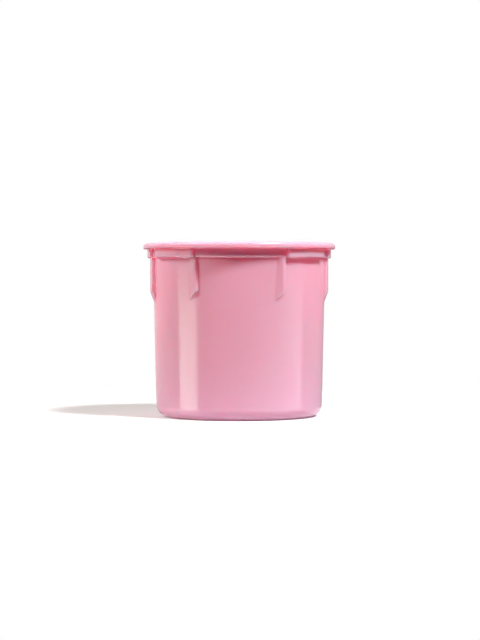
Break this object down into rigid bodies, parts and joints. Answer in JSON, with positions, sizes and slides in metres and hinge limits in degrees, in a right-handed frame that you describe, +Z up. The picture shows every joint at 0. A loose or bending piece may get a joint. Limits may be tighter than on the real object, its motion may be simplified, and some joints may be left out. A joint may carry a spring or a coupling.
{
  "type": "plastic refill cup",
  "caption": "Thin-walled moulded cup with an open mouth, a rounded rim flange, a padded collar and guide ribs, made to drop into an outer cosmetic jar as its refill.",
  "frame": {"origin": "middle of the base, on the surface that the foot ring stands on", "axes": "+Z is up along the cup's axis, -Y is the side that the picture shows, and the side bars are at +X and -X"},
  "size_m": [0.05, 0.05, 0.0449],
  "materials": {
    "pink_plastic": "gloss, slightly milky"
  },
  "bodies": {
    "root": {"cup": "pink_plastic"}
  },
  "joints": []
}
